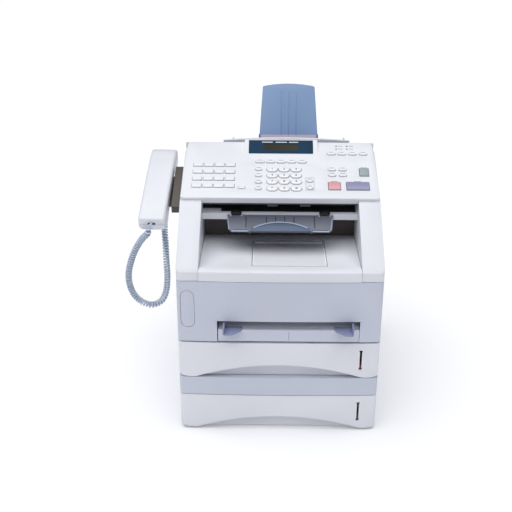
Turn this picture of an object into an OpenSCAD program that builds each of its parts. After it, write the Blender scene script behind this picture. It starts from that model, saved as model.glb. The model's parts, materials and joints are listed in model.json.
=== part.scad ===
// Desktop laser fax machine with a second paper drawer, a side handset and a tilted control panel.
// The front faces -Y, the floor is at Z = 0 and X = 0 is the middle plane of the casing.

/* [Casing] */
// Width across the side covers
body_w = 350; // [344:1:356]
// Front face at the casing's corners
front_y = -200; // [-202:1:-199]
// How far the middle of the front stands proud of its corners
front_bow = 4; // [3:0.5:6]
// Rear face
back_y = 205; // [200:1:215]
// Radius of the upright front corners
corner_r = 9; // [7:1:11]
// Skin thickness of the casings
skin = 3; // [2.5:0.5:3.5]
// Middle of the paper path, to the right of the casing's middle
path_x = 16.5; // [14:0.5:18]

/* [Drawers] */
// Lowest edge of the lower drawer
lower_z = 4; // [3.5:0.5:5]
// Lowest edge of the upper drawer
upper_z = 112; // [112:0.5:113]
// Height of a drawer front
drawer_h = 70; // [68:0.5:70.5]
// Rise of the finger arch in a drawer front
arch_rise = 26.5; // [24:0.5:27]
// Wall height of a drawer's bin
bin_h = 36; // [30:1:37]
// Length of a drawer's bin
bin_len = 330; // [320:5:350]

/* [Manual feed] */
// Left end of the manual feed table
slot_left = -105; // [-107:1:-103]
// Right end of the manual feed table
slot_right = 137; // [135:1:138]
// Top of the manual feed slot
slot_top = 225.5; // [224:0.5:227]
// Top of the manual feed table
table_top = 209; // [208:0.5:210]

/* [Control panel] */
// Panel's front edge, along Y
panel_y = -78; // [-79:1:-77]
// Panel's front edge, above the floor
panel_z = 401; // [400.5:0.5:402]
// Panel's slope
panel_tilt = 18.4; // [18.2:0.1:18.6]
// Panel's length up the slope
panel_len = 158; // [157:0.5:159]
// Half of the panel's width at its front edge
panel_half_front = 174.5; // [172:0.5:175]
// Half of the panel's width at its rear edge
panel_half_rear = 170.5; // [168:0.5:172]
// How far a key stands above the panel
key_rise = 1.6; // [1.4:0.1:2]

/* [Handset] */
// Width of the handset
handset_w = 48; // [44:1:50]
// Length of the handset
handset_len = 207; // [200:1:210]
// Outer diameter of the curly cord's coil
coil_d = 13; // [11:0.5:13.5]

/* [Hidden] */
$fn = 48;

// Colours
shell_white = "#e3e5ee";
shell_shade = "#c9ccd9";
dark_gray = "#3a3c42";
slate_blue = "#4d5b73";
guide_blue = "#7f88b8";
support_blue = "#7d9bc4";

// Casing
half_w = body_w / 2;
bow_r = (half_w * half_w + front_bow * front_bow) / (2 * front_bow);
bow_y = front_y - front_bow + bow_r;
fit = 0.5;
lower_top = 111;
band_z = 75.5;
tray_back = front_y + 16;
side_front = front_y + 17;
cover_z0 = 184.8;
cover_z1 = 300.4;
rim_z = 301.2;
inner_x = 137.3;
chassis_x = 164;
floor_z = 186;

// Drawers
arch_r = 415;
arch_blend = 140;
arch_low = 152;
corner_lift = 4;
bin_x = 158;
recess_x = 134;
recess_depth = 17;
scoop_lip = 6;
scoop_h = 20;
roller_y = -150;
roller_up = 52;
gauge_x = 142.4;
tab_y = front_y + 2.2;
gauge_low = 16;
gauge_high = 56;
plate_hinge_y = 40;
plate_left = -90;
plate_right = 123;

// Front cover hinge line, along X
cover_hinge_y = -199;
cover_hinge_z = 190;
hinge_x = [-55, 55];
knuckle_r = 2.2;
cover_swing_r = rim_z - cover_hinge_z - 0.5;

// Recess that collects the printed sheets
recess_back = -20;
floor_front_z = 316;
floor_back_z = 303;
flap_half = 63.5;
flap_front = -170.5;
flap_back = -47;

// Control panel's hinge line, along X
hinge_y = 68;
hinge_z = 440;
hinge_lug_x = 152;

// Clips that hold the document stop tray
clip_x = [-77, 79];

// Panel layout, in millimetres along X and up the slope
dial_x = [-14, 7.4, 28.9];
dial_t = [78.2, 61.3, 43.8, 25.6];
dial_size = [18.5, 13];
one_touch_x = [-147.6, -128, -108.8, -89.3];
one_touch_t = [90, 70.6, 51.2, 31.8];
one_touch_size = [16, 8.4];
row_x = [-36.2, -17, 2.1, 21.2, 40.3];
column_t = [78.1, 60.9, 42.5, 25.1];
mode_x = [94.2, 113.5, 133, 152.3];
square_x = [93.3, 112.6];
square_t = [78.4, 62.9];
volume_t = [46.7, 27.3];
row_t = 99.7;
column_x = -38.2;
mode_t = 124;
volume_x = 53;
shift_at = [-67.8, 27.6];
start_at = [137.5, 33.1];
start_size = [39.4, 20.8];
stop_at = [96.1, 33];
stop_size = [20.8, 20.2];
copy_at = [150.7, 71.6];
copy_size = [15.7, 20.9];
led_x = [104.1, 123.6];
led_t = [147, 138.6];
switch_x = half_w - skin / 2;
switch_y = 161;
dial_names = ["1", "2", "3", "4", "5", "6", "7", "8", "9", "star", "0", "hash"];
panel_skin = 2;
panel_side_h = 5;
panel_mid_h = 12;
key_root = -2.3;
key_gap = 0.35;
display_t = 119;
display_tilt = 11.5;
display_left = -64.5;
display_right = 69.5;

// Handset frame: its back surface starts here and follows the panel's slope
hand_x = -222;
hand_y = -116.3;
hand_z = 376.6;
cradle_y = -115;
cradle_z = 377;
cradle_x = 190.5;
hand_turn = -1.9;
hand_tilt = 18.3;

// Route of the curly cord's middle line, from the handset to its socket
cord_route = [
    [-224, -122, 366], [-226, -124, 358], [-230, -122, 350], [-238, -118, 341], [-251, -112, 319],
    [-261, -108, 295], [-268, -104, 268], [-269, -100, 243], [-263, -96, 219], [-250, -92, 201],
    [-232, -89, 193], [-215, -85, 199], [-206, -81, 217], [-203, -77, 245], [-204, -72, 277],
    [-205, -64, 303], [-207, -53, 324], [-208, -41, 340], [-209, -35, 350], [-209, -37, 358]
];

// Rear door
door_left = -100;
door_right = 133;
door_low = 196;
door_high = 296;
door_hinge_y = back_y - 1.4;
door_hinge_z = door_low + 3;
rear_door_in = 2.6;

// Rear sockets as left, right, lowest and highest edges, and screws as X and Z
socket_boxes = [
    [-160, -130, 130, 150], [-122, -108, 132, 146], [-102, -88, 132, 146], [-70, -14, 130, 146]
];
screw_places = [[-169, 120], [169, 120], [-169, 292], [169, 292], [-120, 180], [150, 180]];

// Deck behind the panel: where its slope starts, and how steep it is in degrees
deck_y = 84;
deck_z = 446;
deck_slope = 20;

// Sides of the sheet collector, the deck behind the panel and the lower document chute
side_outline = [
    [front_y, rim_z], [front_y, 317], [front_y + 3.5, 321.5], [panel_y - 1, 394.8], [56, 438.8],
    [58, 435.8], [78.5, 435.8], [79, 446.5], [deck_y, deck_z], [132, 428.5], [145, 421.5], [back_y, 392],
    [back_y, rim_z]
];
inner_outline = [
    [front_y + 3, rim_z - 1], [front_y + 3, 316], [front_y + 6, 319.4], [panel_y, 391.9], [54, 435],
    [56, 432.8], [81.5, 432.8], [82, 442.9], [deck_y, 442.7], [131.2, 425.4], [143.8, 418.6],
    [back_y - 3, 389.6], [back_y - 3, rim_z - 1]
];

// Output flap's pocket and pin, on the sloping floor of the sheet collector
flap_pocket = [
    [flap_front - 1, floor_height(flap_front) - 1], [flap_back + 1, floor_height(flap_back) - 1],
    [flap_back + 1, floor_height(flap_back) - 7], [flap_front - 1, floor_height(flap_front) - 7]
];
flap_pin_y = flap_back - 2.5;
flap_pin_z = floor_height(flap_pin_y) - 1.4;

// Manual feed
table_outline = [
    [-205, 190], [-205, table_top], [-196, table_top], [-181, 220.6], [-178, 220.6],
    [-178, cover_z0 + 2], [-197, cover_z0], [-199, cover_z0], [-202.5, 186]
];
guide_left_x = -96.4;
guide_right_x = 126.8;

// Document feeder
support_y = 98;
support_z = 449;
support_tilt = 30;
slot_front = 88;
slot_rear = 96;
slot_pocket = 106;
lip_rise = 4;
guide_from_middle = 103.5;
eject_y = -50;
eject_z = 380;
stop_hinge_y = -69;
stop_hinge_z = 362.5;
stop_tilt = 21;
stop_len = 40;
stop_flap_y = -stop_len - 0.6;
stop_flap_z = 4.4;

// Handset's two shells, as length along it and height above its back
back_outline = concat(
    [[0, -13], [0, -3], [2, -0.5], [60, 1.5], [140, 1.5], [handset_len - 32, 0]],
    arc(handset_len - 22, -22, 22, 90, 22, 6),
    [[handset_len - 0.5, -13]]
);
front_outline = concat(
    [[0, -13.5], [0, -27]],
    arc(22, -30, 8, 200, 290, 4),
    [[44, -35], [56, -21], [handset_len - 56, -21], [handset_len - 46, -38], [handset_len - 22, -40]],
    arc(handset_len - 12, -30, 12, 300, 360, 4),
    [[handset_len, -14]]
);

// ---- Plain shapes ----

function arc(cx, cy, r, a0, a1, n, first = 0) =
    [for (i = [first:n]) let (a = a0 + (a1 - a0) * i / n) [cx + r * cos(a), cy + r * sin(a)]];

// Outline of the casing seen from above, drawn in by inset and ending at the given rear line
function plan_points(inset = 0, back = back_y, r = corner_r) =
    let (
        w = half_w - inset,
        big = bow_r - inset,
        yc = bow_y - sqrt(pow(big - r, 2) - pow(w - r, 2)),
        t = asin((w - r) / (big - r))
    )
    concat(
        arc(0, bow_y, big, 270 - t, 270 + t, 24),
        arc(w - r, yc, r, 270 + t, 360, 6, 1),
        [[w, back], [-w, back]],
        arc(r - w, yc, r, 180, 270 - t, 6)
    );

module plan(z0, z1, inset = 0, back = back_y) {
    points = plan_points(inset, back);
    translate([0, 0, z0])
        linear_extrude(z1 - z0)
            polygon([for (i = [0:len(points) - 2]) points[i]]);
}

module block(x0, x1, y0, y1, z0, z1) {
    translate([x0, y0, z0])
        cube([x1 - x0, y1 - y0, z1 - z0]);
}

// A side profile given as [y, z] points, extruded between two X values
module profile(points, x0, x1) {
    translate([x0, 0, 0])
        rotate([90, 0, 90])
            linear_extrude(x1 - x0)
                polygon(points);
}

module rod(x0, x1, y, z, r, steps = 48) {
    translate([x0, y, z])
        rotate([0, 90, 0])
            cylinder(r = r, h = x1 - x0, $fn = steps);
}

// Flat shape with round ends, wider than it is high
module oval(w, h) {
    square([w - h, h], center = true);
    for (s = [-1, 1])
        translate([s * (w - h) / 2, 0])
            circle(d = h);
}

module round_square(w, h, r) {
    square([w - 2 * r, h], center = true);
    square([w, h - 2 * r], center = true);
    for (sx = [-1, 1], sy = [-1, 1])
        translate([sx * (w / 2 - r), sy * (h / 2 - r)])
            circle(r = r);
}

// ---- Drawers ----

// Height of a drawer front's lower edge above its lowest point
function arch_edge(x) =
    let (a = abs(x), slope = arch_blend / sqrt(arch_r * arch_r - arch_blend * arch_blend))
    a <= arch_blend ? arch_rise - arch_r + sqrt(arch_r * arch_r - a * a) :
    a <= arch_low ? slope * pow(arch_low - a, 2) / (2 * (arch_low - arch_blend)) :
    corner_lift * pow((a - arch_low) / (half_w - arch_low), 2);

module drawer_face(z0) {
    steps = 50;
    edge = [for (i = [0:steps]) let (x = half_w * (2 * i / steps - 1)) [x, z0 + arch_edge(x)]];
    translate([0, tray_back + 1, 0])
        rotate([90, 0, 0])
            linear_extrude(60)
                polygon(concat(edge, [[half_w, z0 + drawer_h], [-half_w, z0 + drawer_h]]));
}

module gauge_slot(z0) {
    y = front_y - 15;
    block(gauge_x - 1.9, gauge_x + 1.9, y, y + 20, z0 + gauge_low, z0 + gauge_high);
    block(gauge_x - 3, gauge_x + 3, y, y + 20, z0 + gauge_high - 3, z0 + gauge_high);
    translate([gauge_x, y + 20, z0 + gauge_low + 3])
        rotate([90, 0, 0])
            cylinder(r = 3.2, h = 20);
}

module drawer(z0) {
    top = z0 + drawer_h;
    recess_y = front_y - front_bow + recess_depth;
    difference() {
        intersection() {
            plan(z0, top, 0, tray_back);
            drawer_face(z0);
        }
        difference() {
            plan(z0 - 1, top - skin, skin, tray_back + 1);
            block(-recess_x - 2, recess_x + 2, -260, tray_back + 1, z0 - 1, z0 + 33);
        }
        intersection() {
            plan(z0 - 2, z0 + 31, skin, recess_y);
            block(-recess_x, recess_x, -260, tray_back, z0 - 2, z0 + 31);
        }
        gauge_slot(z0);
    }
    profile([[tray_back, z0], [tray_back, z0 + scoop_h], [tray_back - 2.5, z0 + scoop_h],
             [recess_y - scoop_lip, z0 + 2], [recess_y - scoop_lip, z0]], -recess_x - 1, recess_x + 1);
    difference() {
        block(-bin_x, bin_x, tray_back - 2, tray_back + bin_len, z0 + 3, z0 + bin_h);
        block(-bin_x + 3, bin_x - 3, tray_back + 1, tray_back + bin_len - 3, z0 + 6, z0 + bin_h + 1);
        block(gauge_x - 6, gauge_x + 6, tray_back - 3, tray_back + 4, z0 + 6, z0 + bin_h + 1);
        block(plate_right - 4, gauge_x + 6, tray_back - 3, tray_back + 4, z0 + 6, z0 + 12);
    }
    for (x = [plate_left - 4, plate_right + 2])
        block(x, x + 2.5, tray_back + 18, tray_back + 240, z0 + 5, z0 + bin_h - 4);
}

// Lift plate with the arm that shows the paper level in the drawer's slot
module lift_plate(z0) {
    block(plate_left, plate_right, tray_back + 4, plate_hinge_y, z0 + 8, z0 + 10);
    rod(plate_left, plate_right, plate_hinge_y, z0 + 9, 2);
    block(plate_right - 10, gauge_x + 2.6, tray_back + 4, tray_back + 9, z0 + 8, z0 + 10);
    block(gauge_x - 2.6, gauge_x + 2.6, tab_y, tray_back + 9, z0 + 8, z0 + 10);
    block(gauge_x - 2.6, gauge_x + 2.6, tab_y, tab_y + skin, z0 + 8, z0 + gauge_low + 9);
}

module pickup_roller(z0, half) {
    rod(-half, half, roller_y, z0 + roller_up, 4);
    rod(path_x - 26, path_x + 26, roller_y, z0 + roller_up, 12);
    rod(half - 14, half - 8, roller_y, z0 + roller_up, 9);
}

// ---- Lower paper unit ----

module lower_unit_housing() {
    color(shell_white)
        difference() {
            union() {
                plan(band_z, lower_top);
                block(-half_w, half_w, side_front, back_y, 2, band_z + 1);
            }
            block(7 - half_w, half_w - 7, side_front - 1, back_y - skin, 5, band_z - 1);
            plan(band_z + 4, lower_top - skin, skin, back_y - skin);
            rod(4 - half_w, half_w - 4, roller_y, lower_z + roller_up, 4.1);
        }
}

module lower_tray() {
    color(shell_white)
        drawer(lower_z);
}

module lower_tray_plate() {
    color("silver")
        lift_plate(lower_z);
}

module lower_pickup_roller() {
    color(dark_gray)
        pickup_roller(lower_z, half_w - 4.5);
}

// ---- Main unit ----

module upper_tray() {
    color(shell_white)
        drawer(upper_z);
}

module upper_tray_plate() {
    color("silver")
        lift_plate(upper_z);
}

module upper_pickup_roller() {
    color(dark_gray)
        pickup_roller(upper_z, chassis_x + 1);
}

module main_frame() {
    color("#777a80")
        difference() {
            union() {
                for (s = [-1, 1])
                    translate([s * (chassis_x + 1.5), 0, 0])
                        block(-1.5, 1.5, side_front + 2, back_y - 6, lower_top, 299);
                block(-chassis_x, chassis_x, -168, back_y - 6, floor_z, floor_z + skin);
                block(0.5 - inner_x, inner_x - 0.5, recess_back, recess_back + skin, floor_z, 345);
                block(-chassis_x, chassis_x, back_y - 9, back_y - 6, floor_z, 299);
                for (x = hinge_x) {
                    block(x - 3, x + 3, cover_hinge_y, -167,
                          cover_hinge_z - knuckle_r, cover_hinge_z + knuckle_r);
                    rod(x - 3, x + 3, cover_hinge_y, cover_hinge_z, knuckle_r);
                }
            }
            rod(-half_w, half_w, roller_y, upper_z + roller_up, 4.1);
            rod(-half_w, half_w, cover_hinge_y, cover_hinge_z, 1.6);
            block(path_x - 109, path_x + 109, recess_back - 1, recess_back + 4, 332, 342.5);
            block(path_x - 109, path_x + 109, recess_back - 1, recess_back + 4, 258, 290);
            block(path_x - 100, path_x + 100, back_y - 10, back_y, 200, 290);
            block(path_x - 30, path_x + 30, -160, -140, floor_z - 1, floor_z + 4);
        }
}

module side_cover(s) {
    color(shell_white)
        difference() {
            block(min(s * half_w, s * (half_w - skin)), max(s * half_w, s * (half_w - skin)),
                  side_front, back_y - skin, lower_top + 1, cover_z1);
            for (i = [0:9])
                block(-half_w - 1, half_w + 1, 60 + 10 * i, 64 + 10 * i, 215, 250);
            if (s > 0) {
                block(0, half_w + 1, 150, 172, 150, 162);
                translate([switch_x, switch_y, 148])
                    cylinder(r = 0.85, h = 16);
            }
        }
}

module left_side_cover() {
    side_cover(-1);
}

module right_side_cover() {
    side_cover(1);
}

module rear_panel() {
    color(shell_white)
        difference() {
            block(-half_w, half_w, back_y - skin + 0.2, back_y, lower_top + 1, cover_z1);
            block(door_left, door_right, back_y - 10, back_y + 1, door_low, door_high);
            rod(door_left - 4, door_right + 4, door_hinge_y, door_hinge_z, 1.2);
            for (s = socket_boxes)
                block(s[0], s[1], back_y - 10, back_y + 1, s[2], s[3]);
            for (p = screw_places)
                translate([p[0], back_y + 1, p[1]])
                    rotate([90, 0, 0])
                        cylinder(r = 1.6, h = 10);
        }
}

module rear_door() {
    color(shell_shade)
        difference() {
            union() {
                block(door_left + fit, door_right - fit, back_y - rear_door_in, back_y,
                      door_low + 1.2, door_high - fit);
                rod(door_left - 3, door_right + 3, door_hinge_y, door_hinge_z, 1.1);
            }
            block(path_x - 18, path_x + 18, back_y - 1.2, back_y + 1, door_high - 12, door_high - 5);
        }
}

module upper_case() {
    color(shell_white) {
        difference() {
            intersection() {
                profile(side_outline, -half_w, half_w);
                plan(rim_z - 1, 500);
            }
            for (s = [-1, 1])
                profile(inner_outline, s > 0 ? inner_x + skin : skin - half_w,
                        s > 0 ? half_w - skin : -inner_x - skin);
            block(-inner_x, inner_x, -260, 81.5, rim_z - 2, 500);
            profile([[80, rim_z - 2], [80, 442.9], [deck_y, 442.7], [131.2, 425.4], [143.8, 418.6],
                     [back_y - 3, 389.6], [back_y - 3, rim_z - 2]], -inner_x, inner_x);
            block(path_x - 112, path_x + 112, slot_front - 1, slot_pocket + 1, 430, 450);
            rod(-inner_x - 4, inner_x + 4, eject_y, eject_z, 3.1);
        }
        profile([[-66, 355], [-66, 366], [-63, 367.5], [80, 415.5], [80, 412], [-56, 366], [-56, 355]],
                -inner_x - 1, inner_x + 1);
        for (x = clip_x, s = [-1, 1])
            block(x + s * 9.5 - 1, x + s * 9.5 + 1, stop_hinge_y - 2, -65,
                  stop_hinge_z - 2, stop_hinge_z + 2);
        for (x = clip_x)
            rod(x - 9, x + 9, stop_hinge_y, stop_hinge_z, 1.2);
        for (s = [-1, 1]) {
            rod(s * hinge_lug_x - 6, s * hinge_lug_x + 6, hinge_y, hinge_z, 1.9);
            for (k = [-1, 1])
                translate([s * hinge_lug_x + 6 * k, 0, 0])
                    block(-1.5, 1.5, hinge_y - 3, hinge_y + 3, hinge_z - 6, hinge_z + 2.5);
        }
    }
}

// Surface of the sheet collector, drawn as radius from the bow's middle and height
module collector_section() {
    r0 = bow_r - 0.2;
    r_line = bow_y - (-177);
    r_back = bow_y - recess_back;
    polygon([
        [r0, rim_z], [r0, 315.5], [r0 - 1.2, 318.2], [r0 - 4, 319.5], [r0 - 14, 319.7],
        [r_line, floor_front_z], [r_back - 12, floor_back_z], [r_back - 12, floor_back_z - skin],
        [r_line, floor_front_z - skin], [r0 - 14, 316.5], [r0 - 3, 315.5], [r0 - 3, rim_z]
    ]);
}

function floor_height(y) =
    floor_back_z + (floor_front_z - floor_back_z) * (recess_back - y) / (recess_back + 177);

module output_tray_cover() {
    color(shell_white)
        difference() {
            union() {
                difference() {
                    intersection() {
                        translate([0, bow_y, 0])
                            rotate([0, 0, 267])
                                rotate_extrude(angle = 6, $fn = 720)
                                    collector_section();
                        block(0.5 - inner_x, inner_x - 0.5, -260, recess_back - 0.5, 290, 330);
                    }
                    block(path_x - flap_half - 1, path_x + flap_half + 1,
                          flap_front - 1, flap_back + 1, 280, 340);
                }
                for (s = [-1, 1])
                    profile(flap_pocket, path_x + s * (flap_half + 2) - 1, path_x + s * (flap_half + 2) + 1);
            }
            rod(path_x - flap_half - 3, path_x + flap_half + 3, flap_pin_y, flap_pin_z, 1);
        }
}

module output_flap() {
    color(shell_shade) {
        profile([
            [flap_front + 0.5, floor_height(flap_front)], [flap_back - 0.5, floor_height(flap_back)],
            [flap_back - 0.5, floor_height(flap_back) - 2.6],
            [flap_front + 0.5, floor_height(flap_front) - 2.6]
        ], path_x - flap_half, path_x + flap_half);
        rod(path_x - flap_half - 2.5, path_x + flap_half + 2.5, flap_pin_y, flap_pin_z, 0.9);
    }
}

// ---- Front cover and manual feed ----

module front_cover() {
    color(shell_white)
        difference() {
            plan(cover_z0, cover_z1, 0, side_front - 1);
            plan(cover_z0 - 1, cover_z1 - skin, skin, side_front);
            block(slot_left - 1.6, slot_right + 0.8, -260, side_front, cover_z0 - 1, slot_top);
            difference() {
                block(-half_w - 1, half_w + 1, front_y + 2, side_front, cover_z1 - 4, cover_z1 + 1);
                rod(-half_w - 2, half_w + 2, cover_hinge_y, cover_hinge_z, cover_swing_r, 180);
            }
            intersection() {
                badge_ring();
                difference() {
                    plan(200, 290, -1, side_front);
                    plan(200, 290, 0.9, side_front);
                }
            }
        }
}

// Outline of the blank oval plate, as a groove
module badge_ring() {
    translate([-156.5, -190, 247.7])
        rotate([90, 90, 0])
            linear_extrude(20)
                difference() {
                    oval(70, 23.2);
                    oval(67.4, 20.6);
                }
}

module manual_feed_table() {
    color(shell_white)
        difference() {
            intersection() {
                profile(table_outline, slot_left, slot_right);
                plan(cover_z0 - 1, slot_top, 0, side_front);
            }
            intersection() {
                profile([[-205, 198], [-205, table_top - 3], [-195, table_top - 3], [-183, 215], [-181, 198]],
                        slot_left + 3, slot_right - 3);
                plan(190, 220, skin, side_front);
            }
            for (x = hinge_x)
                block(x - 4, x + 4, cover_hinge_y - knuckle_r - 0.5, -170, cover_z0 - 1, 198);
        }
    color(shell_white)
        for (x = hinge_x)
            rod(x - 5, x + 5, cover_hinge_y, cover_hinge_z, 1.5);
}

module manual_guide(s) {
    translate([s > 0 ? guide_right_x : guide_left_x, 0, table_top + 0.4])
        mirror([s > 0 ? 1 : 0, 0, 0]) {
            linear_extrude(2)
                polygon(concat(arc(5, -219, 5, 180, 270, 5),
                               [[16, -223], [30, -210], [33, -203], [33, -196], [0, -196]]));
            linear_extrude(13.5)
                polygon(concat(arc(5, -219, 5, 180, 230, 4), [[3, -220], [3, -196], [0, -196]]));
        }
}

module manual_guide_left() {
    color(guide_blue)
        manual_guide(-1);
}

module manual_guide_right() {
    color(guide_blue)
        manual_guide(1);
}

// ---- Control panel ----

// Places children on the panel: X across, Y up the slope, Z away from its surface
module on_panel(x = 0, t = 0, n = 0) {
    translate([0, panel_y, panel_z])
        rotate([panel_tilt, 0, 0])
            translate([x, t, n])
                children();
}

module on_display(n = 0) {
    on_panel(0, display_t, 0)
        rotate([display_tilt, 0, 0])
            translate([0, 0, n])
                children();
}

function panel_outline(inset = 0) =
    let (f = panel_half_front - inset, b = panel_half_rear - inset, l = panel_len - inset)
    concat(
        [[-f, inset + 3], [3 - f, inset], [f - 3, inset], [f, inset + 3]],
        arc(b - 10, l - 10, 10, 0, 90, 5),
        arc(10 - b, l - 10, 10, 90, 180, 5)
    );

module panel_plate(n0, n1, inset = 0) {
    translate([0, 0, n0])
        linear_extrude(n1 - n0)
            polygon(panel_outline(inset));
}

module dial_spots() {
    for (x = dial_x, t = dial_t)
        translate([x, t])
            children();
}

module one_touch_spots() {
    for (x = one_touch_x, t = one_touch_t)
        translate([x, t])
            children();
}

module function_shapes(grow = 0) {
    for (x = row_x)
        translate([x, row_t])
            oval(14.5 + grow, 5.6 + grow);
    for (t = column_t)
        translate([column_x, t])
            oval(10.5 + grow, 5.6 + grow);
    for (x = mode_x)
        translate([x, mode_t])
            oval(14 + grow, 5.6 + grow);
    for (x = square_x, t = square_t)
        translate([x, t])
            oval(12.5 + grow, 6 + grow);
    for (t = volume_t)
        translate([volume_x, t])
            oval(10 + grow, 7 + grow);
}

module one_touch_shapes(grow = 0) {
    one_touch_spots()
        square(one_touch_size + [grow, grow], center = true);
    translate(shift_at)
        oval(11 + grow, 6 + grow);
}

module big_key_shape(at, size, grow = 0) {
    translate(at)
        round_square(size[0] + grow, size[1] + grow, 1);
}

module key(n0 = key_root, n1 = key_rise) {
    on_panel(0, 0, n0)
        linear_extrude(n1 - n0)
            children();
}

module control_panel() {
    color(shell_white) {
        difference() {
            on_panel() {
                panel_plate(-panel_side_h, 0);
                translate([0.6 - inner_x, 0.2, -panel_mid_h])
                    cube([2 * inner_x - 1.2, 8, panel_mid_h]);
                translate([display_left, display_t, -1])
                    rotate([90, 0, 90])
                        linear_extrude(display_right - display_left)
                            polygon([[0, 0], [35, 8.1], [38, 8.1], [38.6, 0]]);
            }
            on_panel() {
                panel_plate(-panel_side_h - 1, -panel_skin, 2.2);
                translate([3 - inner_x, 3, -panel_mid_h - 1])
                    cube([2 * inner_x - 6, 8, panel_mid_h - panel_skin + 1]);
            }
            key(-4, 3) {
                dial_spots()
                    oval(dial_size[0] + 2 * key_gap, dial_size[1] + 2 * key_gap);
                one_touch_shapes(2 * key_gap);
                function_shapes(2 * key_gap);
                big_key_shape(start_at, start_size, 2 * key_gap);
                big_key_shape(stop_at, stop_size, 2 * key_gap);
                big_key_shape(copy_at, copy_size, 2 * key_gap);
                led_shapes();
            }
            on_display(-1.1)
                translate([2, 20.8, 0])
                    linear_extrude(5)
                        round_square(118.6, 31.6, 1);
        }
        for (s = [-1, 1])
            difference() {
                union() {
                    rod(s * hinge_lug_x - 3, s * hinge_lug_x + 3, hinge_y, hinge_z, 3.5);
                    block(s * hinge_lug_x - 3, s * hinge_lug_x + 3, hinge_y - 3.5, hinge_y + 3,
                          hinge_z, hinge_z + 7.5);
                }
                rod(s * hinge_lug_x - 4, s * hinge_lug_x + 4, hinge_y, hinge_z, 2);
            }
    }
}

module led_shapes() {
    for (x = led_x, t = led_t)
        translate([x, t])
            square([3.4, 2], center = true);
}

module display_bezel() {
    color("#0e4a78")
        difference() {
            on_display(-1)
                translate([2, 20.8, 0])
                    linear_extrude(1.2)
                        round_square(118, 31, 1);
            on_display(-2)
                translate([2.2, 19.2, 0])
                    linear_extrude(5)
                        square([62.6, 15], center = true);
        }
}

module display_window() {
    color("#5a5b36")
        on_display(-1)
            translate([2.2, 19.2, 0])
                linear_extrude(0.9)
                    square([62.4, 14.8], center = true);
}

module status_leds() {
    color("#9fb86a")
        on_panel(0, 0, -2)
            linear_extrude(2.4)
                led_shapes();
}

module dial_key(i) {
    color("#f2f2f5")
        key()
            translate([dial_x[i % 3], dial_t[floor(i / 3)]])
                oval(dial_size[0], dial_size[1]);
}

module start_key() {
    color("#8b8fc4")
        key()
            big_key_shape(start_at, start_size);
}

module stop_key() {
    color("#e3a3a8")
        key()
            big_key_shape(stop_at, stop_size);
}

module copy_key() {
    color("#8c9894")
        key()
            big_key_shape(copy_at, copy_size);
}

module one_touch_keys() {
    color("#f2f2f5")
        key()
            one_touch_shapes();
}

module function_keys() {
    color("#f2f2f5")
        key()
            function_shapes();
}

// ---- Document feeder ----

module document_cover() {
    arch = concat(arc(0, 5.6 - 1500, 1500, 94.5, 85.5, 14), [[117.7, 0], [-117.7, 0]]);
    color(shell_white)
        difference() {
            union() {
                translate([path_x - 4, deck_y, deck_z])
                    rotate([-deck_slope, 0, 0])
                        translate([0, 46, 0])
                            rotate([90, 0, 0])
                                linear_extrude(46)
                                    polygon(arch);
                translate([path_x - 4, slot_front, deck_z + 0.5])
                    rotate([90, 0, 0])
                        linear_extrude(slot_front - 82)
                            polygon([for (q = arch) [q[0], q[1] > 0 ? q[1] + lip_rise - 1 : 0]]);
            }
            block(path_x - 111, path_x + 111, slot_front, slot_rear, 430, 470);
            block(path_x - 59, path_x + 59, slot_front, slot_pocket, 430, 470);
        }
}

module document_support() {
    outline = concat([[-55, 0], [55, 0], [49, 99]], arc(0, -133, 238, 79, 101, 10), [[-49, 99]]);
    color(support_blue)
        translate([path_x, support_y, support_z])
            rotate([90 - support_tilt, 0, 0]) {
                linear_extrude(2.2)
                    polygon(outline);
                for (x = [-14, 0, 14])
                    translate([x - 0.6, 6, 2])
                        cube([1.2, 86, 0.9]);
                translate([-52, 0, 1.1])
                    rotate([0, 90, 0])
                        cylinder(r = 2.4, h = 104);
            }
}

module document_guide(s) {
    color(shell_shade)
        translate([path_x + s * guide_from_middle, 0, 0])
            block(-1.5, 1.5, slot_front + 1, slot_rear - 1, 441, 453);
}

module document_guide_left() {
    document_guide(-1);
}

module document_guide_right() {
    document_guide(1);
}

module eject_roller() {
    color(dark_gray) {
        rod(-inner_x - 2, inner_x + 2, eject_y, eject_z, 3);
        for (x = [-13, 45])
            rod(x - 9, x + 9, eject_y, eject_z, 6.5);
    }
}

module on_stop() {
    translate([0, stop_hinge_y, stop_hinge_z])
        rotate([stop_tilt, 0, 0])
            children();
}

module document_stop_tray() {
    color(slate_blue)
        on_stop() {
            difference() {
                union() {
                    linear_extrude(2.2)
                        polygon([[-93, 1], [-89, 5 - stop_len], [-84, -stop_len], [86, -stop_len],
                                 [91, 5 - stop_len], [95, 1]]);
                    for (x = clip_x)
                        translate([x - 7, -4, -2])
                            cube([14, 6, 4.2]);
                }
                translate([-100, 0, 0])
                    rotate([0, 90, 0])
                        cylinder(r = 1.3, h = 200);
                for (x = clip_x, s = [-1, 1])
                    translate([x + s * 9.5 - 1.5, -3, -4])
                        cube([3, 6, 10]);
            }
            for (x = [-60, -24, -8, 8, 24, 60])
                translate([x, 10 - stop_len, 2])
                    cube([1.2, stop_len - 14, 1]);
            difference() {
                for (x = [-54, 53])
                    translate([x, stop_flap_y - 1.8, 0])
                        cube([3, 6, 6]);
                translate([-60, stop_flap_y, stop_flap_z])
                    rotate([0, 90, 0])
                        cylinder(r = 0.9, h = 120);
            }
        }
}

module document_stop_flap() {
    color("#55789f")
        on_stop()
            translate([1, stop_flap_y, stop_flap_z]) {
                translate([0, 0, -0.9])
                    linear_extrude(1.8)
                        polygon(concat([[-50, -0.9], [50, -0.9]], arc(0, -64, 86, 54.5, 125.5, 14)));
                translate([-53.5, 0, 0])
                    rotate([0, 90, 0])
                        cylinder(r = 0.8, h = 107);
            }
}

// ---- Handset ----

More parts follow.
